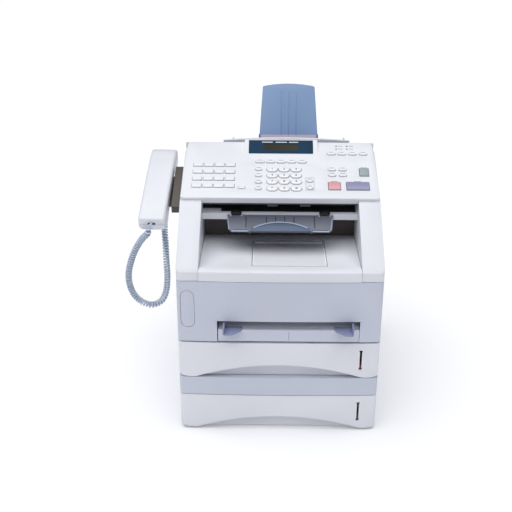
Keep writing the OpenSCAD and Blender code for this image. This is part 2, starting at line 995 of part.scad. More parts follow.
// Places children on the handset: X across, Y along it from its front end, Z out of its back
module on_handset() {
    translate([hand_x, hand_y, hand_z])
        rotate([0, 0, hand_turn])
            rotate([hand_tilt, 0, 0])
                children();
}

module handset_slice(points) {
    rotate([90, 0, 90])
        translate([0, 0, -handset_w / 2])
            linear_extrude(handset_w)
                polygon(points);
}

module handset_back_shell() {
    color("#eceef3")
        on_handset()
            difference() {
                handset_slice(back_outline);
                translate([4 - handset_w / 2, 3, -30])
                    cube([handset_w - 8, handset_len - 14, 26]);
                translate([0, -1, -9])
                    rotate([-90, 0, 0])
                        cylinder(r = 2.6, h = 10);
            }
}

module handset_front_shell() {
    color("#dcdfe8")
        on_handset()
            difference() {
                handset_slice(front_outline);
                translate([4 - handset_w / 2, 4, -18])
                    cube([handset_w - 8, handset_len - 16, 10]);
                for (y = [30, handset_len - 30], i = [0:5])
                    translate([5 * cos(60 * i), y + 5 * sin(60 * i), -45])
                        cylinder(r = 1, h = 30);
            }
}

module on_cradle() {
    translate([0, cradle_y, cradle_z])
        rotate([hand_tilt, 0, 0])
            children();
}

module handset_cradle() {
    color("#767c8c")
        on_cradle() {
            difference() {
                translate([-240, 60, -26.5])
                    cube([240 - half_w, 80, 4.5]);
                translate([-225, 116, -30])
                    cube([12, 10, 12]);
            }
            translate([-cradle_x, 37, -19.5])
                cube([cradle_x - half_w, 111, 14]);
            translate([-cradle_x, 60, -23])
                cube([cradle_x - half_w, 80, 4]);
            translate([-238, 66, -34])
                cube([16, 44, 8]);
            difference() {
                translate([-219, 60, -42])
                    cube([20, 18, 16]);
                translate([-209, 69, -44])
                    cylinder(r = 4, h = 12);
            }
        }
}

module hook_switch() {
    color(shell_white)
        on_cradle()
            translate([-224.5, 116.5, -29])
                cube([11, 9, 7.4]);
}

// ---- Curly cord ----

function unit(v) = v / norm(v);
function smooth_point(p, i, u) =
    let (a = p[max(i - 1, 0)], b = p[i], c = p[i + 1], d = p[min(i + 2, len(p) - 1)])
    0.5 * (2 * b + (c - a) * u + (2 * a - 5 * b + 4 * c - d) * u * u + (3 * b - a - 3 * c + d) * u * u * u);
function smooth_route(p, n) =
    concat([for (i = [0:len(p) - 2], k = [0:n - 1]) smooth_point(p, i, k / n)], [p[len(p) - 1]]);
function side_of(t) = unit(cross(t, [0, 1, 0]));

module sweep(route, d, sides) {
    last = len(route) - 1;
    tangents = [for (i = [0:last]) unit(route[min(i + 1, last)] - route[max(i - 1, 0)])];
    rings = [for (i = [0:last], k = [0:sides - 1])
        let (u = side_of(tangents[i]), v = cross(tangents[i], u), a = 360 * k / sides)
        route[i] + d / 2 * (cos(a) * u + sin(a) * v)];
    walls = [for (i = [0:last - 1], k = [0:sides - 1])
        let (a = i * sides + k, b = i * sides + (k + 1) % sides)
        [a, a + sides, b + sides, b]];
    caps = [[for (k = [0:sides - 1]) k], [for (k = [0:sides - 1]) last * sides + sides - 1 - k]];
    polyhedron(rings, concat(walls, caps), convexity = 6);
}

module curly_cord() {
    color("#b9c3d6")
        sweep(smooth_route(cord_route, 2), coil_d, 10);
}

// ---- Works inside ----

module drum_unit() {
    color(dark_gray) {
        block(path_x - 118, path_x + 118, -140, -50, 206, 262);
        rod(path_x - 126, path_x + 126, -42, 232, 14);
        block(path_x - 20, path_x + 20, -152, -139, 225, 240);
    }
}

module fuser_unit() {
    color("#555a62")
        difference() {
            block(path_x - 122, path_x + 122, 70, 150, 200, 262);
            rod(path_x - 110, path_x + 110, 110, 236, 14);
            block(path_x - 108, path_x + 108, 69, 151, 217, 221);
        }
    color("silver")
        rod(path_x - 109, path_x + 109, 110, 236, 13);
}

module laser_unit() {
    color("#2f3136")
        difference() {
            block(path_x - 100, path_x + 100, 4, 120, 310, 345);
            block(path_x - 97, path_x + 97, 7, 117, 313, 346);
        }
    color("#2f3136")
        translate([path_x, 60, 312])
            cylinder(r = 20, h = 16);
}

module main_board() {
    color("#2f6b45")
        block(1.5 - chassis_x, 3.1 - chassis_x, -40, 180, 194, 292);
    color(dark_gray)
        for (i = [0:3], k = [0:1])
            block(3 - chassis_x, 8 - chassis_x, -20 + 45 * i, 8 + 45 * i, 205 + 42 * k, 230 + 42 * k);
}

module rear_sockets() {
    color(dark_gray)
        for (s = socket_boxes)
            difference() {
                block(s[0] + 0.3, s[1] - 0.3, back_y - 14, back_y - 0.4, s[2] + 0.3, s[3] - 0.3);
                block(s[0] + 2.5, s[1] - 2.5, back_y - 11, back_y + 1, s[2] + 2.5, s[3] - 2.5);
            }
}

module power_switch() {
    x = half_w - skin + 0.3;
    color("#22242a") {
        translate([0, 0, 150.6])
            linear_extrude(10.8)
                polygon([[x, 151], [x, 171], [half_w + 1.5, 171], [half_w - 0.8, 161], [half_w + 1.5, 151]]);
        translate([switch_x, switch_y, 148.6])
            cylinder(r = 0.8, h = 14.8);
    }
}

module rubber_feet() {
    color("#2b2b2e")
        for (x = [-150, 150], y = [-165, 180])
            translate([x, y, 0])
                cylinder(r = 9, h = 2);
}

module case_screws() {
    color("silver")
        for (p = screw_places)
            translate([p[0], back_y, p[1]])
                rotate([90, 0, 0]) {
                    cylinder(r = 1.4, h = 9);
                    translate([0, 0, -1.6])
                        cylinder(r = 3.2, h = 1.6);
                }
}

// ---- Drawing ----

lower_unit_housing();
lower_tray();
lower_tray_plate();
lower_pickup_roller();
upper_tray();
upper_tray_plate();
upper_pickup_roller();
main_frame();
left_side_cover();
right_side_cover();
rear_panel();
rear_door();
upper_case();
output_tray_cover();
output_flap();
front_cover();
manual_feed_table();
manual_guide_left();
manual_guide_right();
control_panel();
display_bezel();
display_window();
status_leds();
for (i = [0:11])
    dial_key(i);
start_key();
stop_key();
copy_key();
one_touch_keys();
function_keys();
document_cover();
document_support();
document_guide_left();
document_guide_right();
eject_roller();
document_stop_tray();
document_stop_flap();
handset_cradle();
handset_back_shell();
handset_front_shell();
hook_switch();
curly_cord();
drum_unit();
fuser_unit();
laser_unit();
main_board();
rear_sockets();
power_switch();
rubber_feet();
case_screws();
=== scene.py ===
"""Looks of a desktop laser fax machine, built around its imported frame. Metres; +Z up, front towards -Y."""
import json
import math

import bmesh
import bpy
from mathutils import Matrix, Vector


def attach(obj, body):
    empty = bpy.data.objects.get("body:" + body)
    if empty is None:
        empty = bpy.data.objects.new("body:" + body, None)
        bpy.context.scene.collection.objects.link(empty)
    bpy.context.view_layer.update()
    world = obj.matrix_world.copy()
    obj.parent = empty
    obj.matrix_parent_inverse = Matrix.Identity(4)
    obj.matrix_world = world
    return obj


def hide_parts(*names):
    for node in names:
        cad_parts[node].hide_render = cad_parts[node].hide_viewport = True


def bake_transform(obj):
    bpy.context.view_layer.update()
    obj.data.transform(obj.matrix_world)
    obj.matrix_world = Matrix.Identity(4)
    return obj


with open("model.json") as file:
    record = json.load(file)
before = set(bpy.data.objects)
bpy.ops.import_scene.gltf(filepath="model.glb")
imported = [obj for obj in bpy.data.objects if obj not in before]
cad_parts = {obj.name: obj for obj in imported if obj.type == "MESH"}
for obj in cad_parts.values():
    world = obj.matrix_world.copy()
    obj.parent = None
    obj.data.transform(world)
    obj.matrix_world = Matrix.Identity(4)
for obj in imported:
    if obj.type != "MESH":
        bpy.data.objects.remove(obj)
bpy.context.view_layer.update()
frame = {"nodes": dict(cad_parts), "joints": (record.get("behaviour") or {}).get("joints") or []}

MM = 0.001

# Camera: where it stands, and its turn, downward pitch and roll in degrees
CAMERA_AT = (-0.0220, -1.5828, 1.0301)
CAMERA_YAW = 0.754
CAMERA_PITCH = 26.236
CAMERA_ROLL = -0.123
CAMERA_LENS = 65.74

# Heights above a surface for printed marks and film
PRINT_LIFT = 0.05 * MM
PRINT_THICK = 0.06 * MM
KEY_RISE = 1.6 * MM

# Surface modifiers: weld distance, the angle under which faces shade as one, and the angle of a rounded edge
WELD_GAP = 0.002 * MM
SMOOTH_BELOW = math.radians(32)
ROUND_ABOVE = math.radians(40)

# Curly cord, from the handset to its socket: the middle line of the coil, in metres
CORD_ROUTE = [
    (-0.224, -0.122, 0.366), (-0.226, -0.124, 0.358), (-0.230, -0.122, 0.350), (-0.238, -0.118, 0.341),
    (-0.251, -0.112, 0.319), (-0.261, -0.108, 0.295), (-0.268, -0.104, 0.268), (-0.269, -0.100, 0.243),
    (-0.263, -0.096, 0.219), (-0.250, -0.092, 0.201), (-0.232, -0.089, 0.193), (-0.215, -0.085, 0.199),
    (-0.206, -0.081, 0.217), (-0.203, -0.077, 0.245), (-0.204, -0.072, 0.277), (-0.205, -0.064, 0.303),
    (-0.207, -0.053, 0.324), (-0.208, -0.041, 0.340), (-0.209, -0.035, 0.350), (-0.209, -0.037, 0.358),
]
COIL_OUTER = 12.6 * MM
STRAND = 3.9 * MM
COIL_PITCH = 5.1 * MM
LEAD_IN = 14 * MM
POINTS_PER_TURN = 14

# Handset, as the model places it: the front end of its back line, its turn and tilt in degrees, its size
HANDSET_AT = Vector((-0.222, -0.1163, 0.3766))
HANDSET_TURN = -1.9
HANDSET_TILT = 18.3
HANDSET_W = 48 * MM
HANDSET_LEN = 207 * MM


# ---- Materials ----

def new_material(name):
    material = bpy.data.materials.new(name)
    material.use_nodes = True
    tree = material.node_tree
    return material, tree, tree.nodes["Principled BSDF"]


def add(tree, kind, **values):
    node = tree.nodes.new(kind)
    for key, value in values.items():
        if key in node.inputs:
            node.inputs[key].default_value = value
        else:
            setattr(node, key, value)
    return node


def shade(color, factor):
    return (*[min(1.0, c * factor) for c in color], 1.0)


def noise(tree, coords, scale, detail=3.0):
    node = add(tree, "ShaderNodeTexNoise")
    node.inputs["Scale"].default_value = scale
    node.inputs["Detail"].default_value = detail
    tree.links.new(coords.outputs["Object"], node.inputs["Vector"])
    return node


def ramp_between(tree, source, low, high, start=0.35, end=0.65):
    node = add(tree, "ShaderNodeValToRGB")
    node.color_ramp.elements[0].position = start
    node.color_ramp.elements[0].color = low
    node.color_ramp.elements[1].position = end
    node.color_ramp.elements[1].color = high
    tree.links.new(source, node.inputs["Fac"])
    return node


def plastic(name, color, roughness=0.45, grain=1400.0, bump=0.10, tone=0.02, coat=0.0, metallic=0.0,
            specular=0.5):
    """Moulded surface: faint large tone changes, fine spark-eroded grain and uneven gloss."""
    material, tree, shader = new_material(name)
    shader.inputs["Metallic"].default_value = metallic
    shader.inputs["Specular IOR Level"].default_value = specular
    shader.inputs["Coat Weight"].default_value = coat
    shader.inputs["Coat Roughness"].default_value = 0.12
    coords = add(tree, "ShaderNodeTexCoord")
    broad = noise(tree, coords, 9.0)
    ramp = ramp_between(tree, broad.outputs["Fac"], shade(color, 1 - tone), shade(color, 1 + tone))
    tree.links.new(ramp.outputs["Color"], shader.inputs["Base Color"])
    patches = noise(tree, coords, 55.0)
    gloss = add(tree, "ShaderNodeMapRange")
    gloss.inputs["To Min"].default_value = roughness - 0.05
    gloss.inputs["To Max"].default_value = roughness + 0.05
    tree.links.new(patches.outputs["Fac"], gloss.inputs["Value"])
    tree.links.new(gloss.outputs["Result"], shader.inputs["Roughness"])
    fine = noise(tree, coords, grain, 2.0)
    relief = add(tree, "ShaderNodeBump")
    relief.inputs["Strength"].default_value = bump
    relief.inputs["Distance"].default_value = 0.05 * MM
    tree.links.new(fine.outputs["Fac"], relief.inputs["Height"])
    tree.links.new(relief.outputs["Normal"], shader.inputs["Normal"])
    return material


def graded(name, low_color, high_color, axis, start, end, **surface):
    """Plastic whose colour runs from one tone to another along an axis of the model."""
    material = plastic(name, high_color, **surface)
    tree = material.node_tree
    shader = tree.nodes["Principled BSDF"]
    coords = add(tree, "ShaderNodeTexCoord")
    split = add(tree, "ShaderNodeSeparateXYZ")
    tree.links.new(coords.outputs["Object"], split.inputs[0])
    place = add(tree, "ShaderNodeMapRange")
    place.inputs["From Min"].default_value = start
    place.inputs["From Max"].default_value = end
    tree.links.new(split.outputs["XYZ".index(axis)], place.inputs["Value"])
    ramp = ramp_between(tree, place.outputs["Result"], shade(low_color, 1), shade(high_color, 1), 0.0, 1.0)
    tree.links.new(ramp.outputs["Color"], shader.inputs["Base Color"])
    return material


SHELL = (0.80, 0.81, 0.86)
MATERIALS = {
    "shell": plastic("shell_plastic", SHELL, roughness=0.48),
    # Pale copy of the shell plastic: painted highlight on lit lips and edges of the flaps and the oval plate.
    "highlight": plastic("painted_highlight", (0.93, 0.93, 0.96), roughness=0.4, bump=0.0),
    # Painted shadow for rib faces and gaps on the stop tray and flap, and painted highlight for their lit edges.
    "slate_painted_shadow": plastic("slate_shadow", (0.035, 0.042, 0.062), roughness=0.5, bump=0.0),
    "slate_highlight": plastic("slate_painted_highlight", (0.34, 0.42, 0.55), roughness=0.4, bump=0.0),
    "panel": plastic("panel_plastic", (0.84, 0.85, 0.89), roughness=0.42, bump=0.06),
    "shade": plastic("shade_plastic", (0.72, 0.72, 0.77), roughness=0.5),
    "key": plastic("keytop_plastic", (0.88, 0.88, 0.90), roughness=0.32, bump=0.03, coat=0.15),
    "start": plastic("start_key_plastic", (0.30, 0.30, 0.47), roughness=0.36, bump=0.03),
    "stop": plastic("stop_key_plastic", (0.72, 0.38, 0.40), roughness=0.36, bump=0.03),
    "copy": plastic("copy_key_plastic", (0.34, 0.41, 0.43), roughness=0.36, bump=0.03),
    "bezel": plastic("bezel_plastic", (0.002, 0.036, 0.085), roughness=0.42, bump=0.02, specular=0.12),
    "lcd": graded("display_glass", (0.026, 0.024, 0.012), (0.045, 0.043, 0.022), "X", -0.03, 0.035,
                  roughness=0.40, bump=0.0, specular=0.1),
    "led": plastic("led_lens", (0.20, 0.22, 0.20), roughness=0.2, bump=0.0, coat=0.5),
    "slate": plastic("slate_plastic", (0.150, 0.165, 0.21), roughness=0.42),
    "flap": plastic("flap_plastic", (0.070, 0.110, 0.185), roughness=0.40, bump=0.05),
    "guide": plastic("guide_plastic", (0.26, 0.295, 0.46), roughness=0.40),
    # Slightly lighter towards the top: painted light standing in for light through the sheet.
    "support": graded("support_sheet", (0.21, 0.32, 0.54), (0.23, 0.345, 0.56), "Z", 0.45, 0.53,
                      roughness=0.45, bump=0.04),
    # Darker copy of the shell plastic for the front cover, feed table and lower housing: painted shade on the
    # faces that look forward.
    "front": plastic("front_painted_shade", (0.60, 0.63, 0.73), roughness=0.48),
    "handset": plastic("handset_plastic", (0.82, 0.83, 0.88), roughness=0.34, bump=0.04, coat=0.15),
    # Near-black brown for the handset cradle: painted shade on the cradle's side beside the handset.
    "cradle": plastic("cradle_painted_shade", (0.085, 0.072, 0.060), roughness=0.55),
    "cord": plastic("cord_jacket", (0.50, 0.57, 0.68), roughness=0.36, grain=700.0, bump=0.05, coat=0.1),
    # Black plastic for the drum, laser unit, sockets and clips; also the sheets that paint the shadow under the
    # control panel.
    "black": plastic("black_plastic_and_painted_shadow", (0.010, 0.010, 0.012), roughness=0.45),
    "rubber": plastic("roller_rubber", (0.15, 0.15, 0.16), roughness=0.75, grain=900.0, bump=0.3),
    # Dark brown for the inner frame and fuser: painted shade on the chassis seen through the recesses.
    "frame": plastic("frame_painted_shade", (0.115, 0.095, 0.085), roughness=0.6),
    "metal": plastic("zinc_steel", (0.62, 0.63, 0.65), roughness=0.34, grain=300.0, bump=0.05, metallic=1.0),
    "gauge": graded("gauge_plate", (0.20, 0.03, 0.025), (0.55, 0.56, 0.58), "Y", -0.1947, -0.1945,
                    roughness=0.4, bump=0.05),
    "board": plastic("board_mask", (0.018, 0.09, 0.035), roughness=0.35, grain=400.0, bump=0.2),
    "foot": plastic("foot_rubber", (0.02, 0.02, 0.022), roughness=0.8, grain=900.0, bump=0.3),
    "ink": plastic("print_ink", (0.05, 0.05, 0.07), roughness=0.5, bump=0.0),
    # Print on the panel and feed table, and painted shadow round the keys.
    "line": plastic("print_and_painted_shadow_line", (0.10, 0.10, 0.12), roughness=0.5, bump=0.0),
    "label": plastic("label_film", (0.88, 0.88, 0.90), roughness=0.38, bump=0.0),
    "seam": plastic("seam_shadow", (0.24, 0.25, 0.30), roughness=0.6, bump=0.0),
    "pink": plastic("guide_print", (0.60, 0.48, 0.58), roughness=0.4, bump=0.0),
}

# Node name to its material and its edge radius in millimetres
FINISHES = {
    "lower_unit_housing": ("front", 0.9), "lower_tray": ("shell", 1.4), "upper_tray": ("shell", 1.4),
    "lower_tray_plate": ("gauge", 0.0), "upper_tray_plate": ("gauge", 0.0),
    "lower_pickup_roller": ("rubber", 0.0), "upper_pickup_roller": ("rubber", 0.0),
    "main_frame": ("frame", 0.0), "left_side_cover": ("shell", 0.6), "right_side_cover": ("shell", 0.6),
    "rear_panel": ("shell", 0.5), "rear_door": ("shade", 0.5),
    "upper_case": ("shell", 0.9), "output_tray_cover": ("shell", 0.7), "output_flap": ("shade", 0.5),
    "front_cover": ("front", 1.1), "manual_feed_table": ("front", 0.5),
    "manual_guide_left": ("guide", 0.35), "manual_guide_right": ("guide", 0.35),
    "control_panel": ("panel", 0.6), "display_bezel": ("bezel", 0.25), "display_window": ("lcd", 0.0),
    "status_leds": ("led", 0.0), "start_key": ("start", 0.5), "stop_key": ("stop", 0.5),
    "copy_key": ("copy", 0.5), "one_touch_keys": ("key", 0.45), "function_keys": ("key", 0.45),
    "document_cover": ("shell", 0.8), "document_support": ("support", 0.4),
    "document_guide_left": ("shade", 0.3), "document_guide_right": ("shade", 0.3),
    "eject_roller": ("rubber", 0.0), "document_stop_tray": ("slate", 0.35),
    "document_stop_flap": ("flap", 0.35), "handset_cradle": ("cradle", 0.8), "hook_switch": ("shell", 0.4),
    "drum_unit": ("black", 0.8), "fuser_unit": ("frame", 0.8), "laser_unit": ("black", 0.8),
    "main_board": ("board", 0.0), "rear_sockets": ("black", 0.3), "power_switch": ("black", 0.3),
    "rubber_feet": ("foot", 0.4), "case_screws": ("metal", 0.2),
}


def smooth_group():
    """Modifier group that shades smoothly over shallow edges and keeps steep ones sharp."""
    group = bpy.data.node_groups.new("smooth_shallow_edges", "GeometryNodeTree")
    group.interface.new_socket("Geometry", in_out="INPUT", socket_type="NodeSocketGeometry")
    group.interface.new_socket("Geometry", in_out="OUTPUT", socket_type="NodeSocketGeometry")
    start = group.nodes.new("NodeGroupInput")
    end = group.nodes.new("NodeGroupOutput")
    angle = group.nodes.new("GeometryNodeInputMeshEdgeAngle")
    steep = group.nodes.new("FunctionNodeCompare")
    steep.operation = "LESS_EQUAL"
    steep.inputs["B"].default_value = SMOOTH_BELOW
    faces = group.nodes.new("GeometryNodeSetShadeSmooth")
    edges = group.nodes.new("GeometryNodeSetShadeSmooth")
    edges.domain = "EDGE"
    group.links.new(angle.outputs["Unsigned Angle"], steep.inputs["A"])
    group.links.new(start.outputs[0], faces.inputs["Geometry"])
    group.links.new(faces.outputs[0], edges.inputs["Geometry"])
    group.links.new(steep.outputs["Result"], edges.inputs["Shade Smooth"])
    group.links.new(edges.outputs[0], end.inputs[0])
    return group


SMOOTH = smooth_group()


def soften(piece, radius_mm, weld=True):
    if weld:
        join = piece.modifiers.new("weld", "WELD")
        join.merge_threshold = WELD_GAP
    if radius_mm > 0:
        bevel = piece.modifiers.new("edge", "BEVEL")
        bevel.width = radius_mm * MM
        bevel.segments = 2
        bevel.limit_method = "ANGLE"
        bevel.angle_limit = ROUND_ABOVE
        bevel.use_clamp_overlap = True
    shading = piece.modifiers.new("shading", "NODES")
    shading.node_group = SMOOTH


def set_material(piece, name):
    piece.data.materials.clear()
    piece.data.materials.append(MATERIALS[name])


for node_name, node in frame["nodes"].items():
    if node_name in FINISHES:
        finish, edge = FINISHES[node_name]
    elif node_name.startswith("dial_key"):
        finish, edge = "key", 0.5
    elif node_name == "curly_cord":
        finish, edge = "cord", 0.0
    else:
        finish, edge = "handset", 0.8
    set_material(node, finish)
    soften(node, edge)


# ---- Building helpers ----

def make_piece(name, points, faces, material, body, edge=0.0):
    mesh = bpy.data.meshes.new(name)
    mesh.from_pydata([tuple(p) for p in points], [], faces)
    tool = bmesh.new()
    tool.from_mesh(mesh)
    bmesh.ops.recalc_face_normals(tool, faces=tool.faces)
    tool.to_mesh(mesh)
    tool.free()
    piece = bpy.data.objects.new(name, mesh)
    bpy.context.scene.collection.objects.link(piece)
    set_material(piece, material)
    soften(piece, edge, weld=False)
    if body:
        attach(piece, body)
    return piece


def add_slab(points, faces, place, x0, x1, y0, y1, z0, z1):
    """Adds one box, given in the place's own axes, to lists of points and faces."""
    first = len(points)
    for z in (z0, z1):
        points += [place @ Vector(p) for p in ((x0, y0, z), (x1, y0, z), (x1, y1, z), (x0, y1, z))]
    for ring in ((0, 1, 2, 3), (4, 5, 6, 7), (0, 1, 5, 4), (1, 2, 6, 5), (2, 3, 7, 6), (3, 0, 4, 7)):
        faces.append([first + k for k in ring])


def axes_at(origin, across, along, up):
    matrix = Matrix.Identity(4)
    for column, axis in enumerate((across, along, up)):
        for row in range(3):
            matrix[row][column] = axis[row]
    matrix.translation = origin
    return matrix


def loft(name, sections, material, body):
    """Skin over rings with the same number of points, closed at both ends."""
    ring = len(sections[0])
    points = [p for section in sections for p in section]
    faces = []
    for i in range(len(sections) - 1):
        for k in range(ring):
            a, b = i * ring + k, i * ring + (k + 1) % ring
            faces.append((a, b, b + ring, a + ring))
    faces.append(list(range(ring))[::-1])
    faces.append(list(range((len(sections) - 1) * ring, len(sections) * ring)))
    return make_piece(name, points, faces, material, body)


# ---- Control panel ----

JOINTS = {joint["name"]: joint for joint in frame["joints"]}
panel_normal = -Vector(JOINTS["dial_key_1_press"]["axis"]).normalized()
panel_across = Vector((1, 0, 0))
panel_slope = panel_normal.cross(panel_across)


def islands(node_name):
    """Panel-plane boxes (x, slope, normal) of the separate solids in a node."""
    tool = bmesh.new()
    tool.from_mesh(frame["nodes"][node_name].data)
    bmesh.ops.remove_doubles(tool, verts=tool.verts, dist=WELD_GAP)
    found, seen = [], set()
    for vert in tool.verts:
        if vert in seen:
            continue
        queue, island = [vert], []
        seen.add(vert)
        while queue:
            here = queue.pop()
            island.append(here.co.copy())
            for edge in here.link_edges:
                other = edge.other_vert(here)
                if other not in seen:
                    seen.add(other)
                    queue.append(other)
        flat = [(p.x, p.dot(panel_slope), p.dot(panel_normal)) for p in island]
        low = [min(f[k] for f in flat) for k in range(3)]
        high = [max(f[k] for f in flat) for k in range(3)]
        found.append((low, high))
    tool.free()
    return sorted(found, key=lambda b: (round(b[0][1], 4), b[0][0]))


key_top = islands("dial_key_1")[0][1][2]
panel_face = key_top - KEY_RISE
PANEL = axes_at(Vector((0, 0, 0)), panel_across, panel_slope, panel_normal)


def printed(name, shapes, material, base=None, body="panel"):
    """Thin raised rectangles on the panel: each is x0, x1, slope0, slope1."""
    low = (panel_face if base is None else base) + PRINT_LIFT
    points, faces = [], []
    for x0, x1, t0, t1 in shapes:
        add_slab(points, faces, PANEL, x0, x1, t0, t1, low - 2 * PRINT_LIFT, low + PRINT_THICK)
    return make_piece(name, points, faces, material, body)


def frame_of(x0, x1, t0, t1, width):
    """Four thin strips that outline a rectangle."""
    return [(x0, x1, t0, t0 + width), (x0, x1, t1 - width, t1),
            (x0, x0 + width, t0 + width, t1 - width), (x1 - width, x1, t0 + width, t1 - width)]


def key_legend(node_name, text, body):
    """A digit or sign on top of a dial key."""
    low, high = islands(node_name)[0]
    curve = bpy.data.curves.new(node_name + "_legend", "FONT")
    curve.body = text
    curve.size = 6.6 * MM
    curve.align_x = "CENTER"
    curve.align_y = "CENTER"
    curve.extrude = PRINT_THICK / 2
    curve.offset = 0.12 * MM
    letter = bpy.data.objects.new(node_name + "_source", curve)
    bpy.context.scene.collection.objects.link(letter)
    bpy.context.view_layer.update()
    mesh = bpy.data.meshes.new_from_object(letter.evaluated_get(bpy.context.evaluated_depsgraph_get()))
    bpy.data.objects.remove(letter)
    centre = (panel_across * (low[0] + high[0]) / 2 + panel_slope * (low[1] + high[1]) / 2
              + panel_normal * (high[2] + PRINT_LIFT / 2))
    mesh.transform(axes_at(centre, panel_across, panel_slope, panel_normal))
    piece = bpy.data.objects.new(node_name + "_legend", mesh)
    bpy.context.scene.collection.objects.link(piece)
    set_material(piece, "ink")
    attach(piece, body)


LEGENDS = {str(digit): str(digit) for digit in range(10)}
LEGENDS.update(star="*", hash="#")
for key_name, sign in LEGENDS.items():
    key_legend("dial_key_" + key_name, sign, "dial_key_" + key_name + "_body")


def print_panel():
    """Outlines and plain caption bars round the keys; the bars hold no letters."""
    outline, captions = [], []
    line_w = 0.36 * MM
    gap = 1.0 * MM
    side_gap = 1.1 * MM
    for low, high in islands("one_touch_keys"):
        outline += frame_of(low[0] - side_gap, high[0] + side_gap, low[1] - gap, high[1] + gap, line_w)
    small = islands("function_keys")
    for low, high in small:
        middle = (low[0] + high[0]) / 2
        half = min(high[0] - low[0], 12 * MM) * 0.36
        captions.append((middle - half, middle + half, high[1] + 1.9 * MM, high[1] + 2.7 * MM))
    for name in ("start_key", "stop_key", "copy_key"):
        low, high = islands(name)[0]
        middle = (low[0] + high[0]) / 2
        captions.append((middle - 6 * MM, middle + 6 * MM, high[1] + 2.2 * MM, high[1] + 3.1 * MM))
        outline += frame_of(low[0] - gap, high[0] + gap, low[1] - gap, high[1] + gap, 2 * line_w)
    for low, high in islands("status_leds"):
        captions.append((high[0] + 2 * MM, high[0] + 10 * MM, low[1] + 0.6 * MM, low[1] + 1.4 * MM))
    # Column of volume keys, right of the dial keys
    volume = [b for b in small if 0.045 < b[0][0] < 0.055]
    x0 = min(b[0][0] for b in volume) - 2.6 * MM
    x1 = max(b[1][0] for b in volume) + 2.6 * MM
    outline += frame_of(x0, x1, min(b[0][1] for b in volume) - 3.4 * MM,
                        max(b[1][1] for b in volume) + 6 * MM, line_w)
    printed("panel_outlines", outline, "line")
    printed("panel_captions", captions, "ink")


print_panel()


def oval_ring(low, high, grow, lift, steps):
    """Closed line round a key's box: a rectangle with round ends."""
    centre = ((low[0] + high[0]) / 2, (low[1] + high[1]) / 2)
    half_w, half_h = (high[0] - low[0]) / 2, (high[1] - low[1]) / 2
    ring = []
    for k in range(steps):
        angle = 2 * math.pi * (k + 0.5) / steps
        side = 1 if math.cos(angle) > 0 else -1
        radius = half_h + grow * MM
        ring.append(PANEL @ Vector((centre[0] + side * (half_w - half_h) + radius * math.cos(angle),
                                    centre[1] + radius * math.sin(angle), panel_face + lift * MM)))
    return ring


OVAL_KEYS = [islands(f"dial_key_{name}")[0] for name in LEGENDS] + islands("function_keys")
OVAL_STEPS = 28

# Section of a key's rim: how far outside the key and how high over the panel, in millimetres
RIM_SECTION = ((0.42, -0.3), (0.42, 0.28), (0.75, 0.34), (1.15, 0.0))


def key_rims():
    """Moulded rims that stand round each small oval and dial key, in the darker shade plastic: painted shade over
    the rims' own gray.
    """
    points, faces = [], []
    steps = OVAL_STEPS
    for low, high in OVAL_KEYS:
        rings = [oval_ring(low, high, grow, lift, steps) for grow, lift in RIM_SECTION]
        first = len(points)
        for ring in rings:
            points += ring
        for i in range(len(rings) - 1):
            for k in range(steps):
                a, b = first + i * steps + k, first + i * steps + (k + 1) % steps
                faces.append((a, b, b + steps, a + steps))
    make_piece("key_rims", points, faces, "shade", "panel")


def key_outlines():
    """Fine dark ring round each rim, wider below it: painted shadow under each key."""
    points, faces = [], []
    steps = OVAL_STEPS
    for low, high in OVAL_KEYS:
        first = len(points)
        for grow, drop in ((1.10, 0.0), (1.42, 0.16)):
            shifted = (low[0], low[1] - drop * MM), (high[0], high[1] - drop * MM)
            points += oval_ring(shifted[0], shifted[1], grow, 0.10, steps)
            points += oval_ring(shifted[0], shifted[1], grow, -0.05, steps)
        for k in range(steps):
            n = (k + 1) % steps
            a, b, c, d = (first + steps * ring for ring in range(4))
            faces += [(a + k, a + n, c + n, c + k), (b + k, b + n, d + n, d + k),
                      (a + k, a + n, b + n, b + k), (c + k, c + n, d + n, d + k)]
    make_piece("key_outlines", points, faces, "line", "panel")


key_rims()
key_outlines()


def print_bezel():
    """Plain pale bars on the display's surround."""
    panel_place = Matrix.Translation((0, -0.078, 0.401)) @ Matrix.Rotation(math.radians(18.4), 4, "X")
    place = panel_place @ Matrix.Translation((0, 0.119, 0)) @ Matrix.Rotation(math.radians(11.5), 4, "X")
    bar_low, bar_high = 30.6 * MM, 32.2 * MM
    under, over = 0.15 * MM, 0.30 * MM
    points, faces = [], []
    for x0, x1 in ((-33, -13), (-8, 13), (17, 34)):
        add_slab(points, faces, place, x0 * MM, x1 * MM, bar_low, bar_high, under, over)
    make_piece("bezel_captions", points, faces, "label", "panel")


print_bezel()


# ---- Handset ----

HANDSET = (Matrix.Translation(HANDSET_AT) @ Matrix.Rotation(math.radians(HANDSET_TURN), 4, "Z")
           @ Matrix.Rotation(math.radians(HANDSET_TILT), 4, "X"))


def interpolate(profile, at):
    """Smooth height along a list of (place, height) points."""
    for i in range(len(profile) - 1):
        (a, low), (b, high) = profile[i], profile[i + 1]
        if at <= b:
            share = max(0.0, (at - a) / (b - a))
            share = share * share * (3 - 2 * share)
            return low + (high - low) * share
    return profile[-1][1]


# Heights in millimetres above the handset's back line, from its front end
BACK_PROFILE = [(0, -3.2), (2, -0.9), (8, -0.3), (60, 1.3), (140, 1.3), (177, -0.4), (187, -1.6), (195, -4.0),
                (201, -7.0), (205.9, -11.4)]
FRONT_PROFILE = [(0, -24.5), (3, -26.8), (14, -31.5), (26, -37.2), (42, -35), (57, -21.2), (150, -21.2),
                 (162, -37.8), (185, -39.8), (199, -37.5), (204, -33), (206.8, -27)]
SEAM = -13.2


def handset_half_width(t):
    end = 6.0
    near = min(t, HANDSET_LEN / MM - t)
    full = HANDSET_W / MM / 2 - 0.2
    if near >= end:
        return full
    return full - end * 0.45 * (1 - math.sqrt(max(0.0, 1 - (1 - max(near, 0.0) / end) ** 2)))


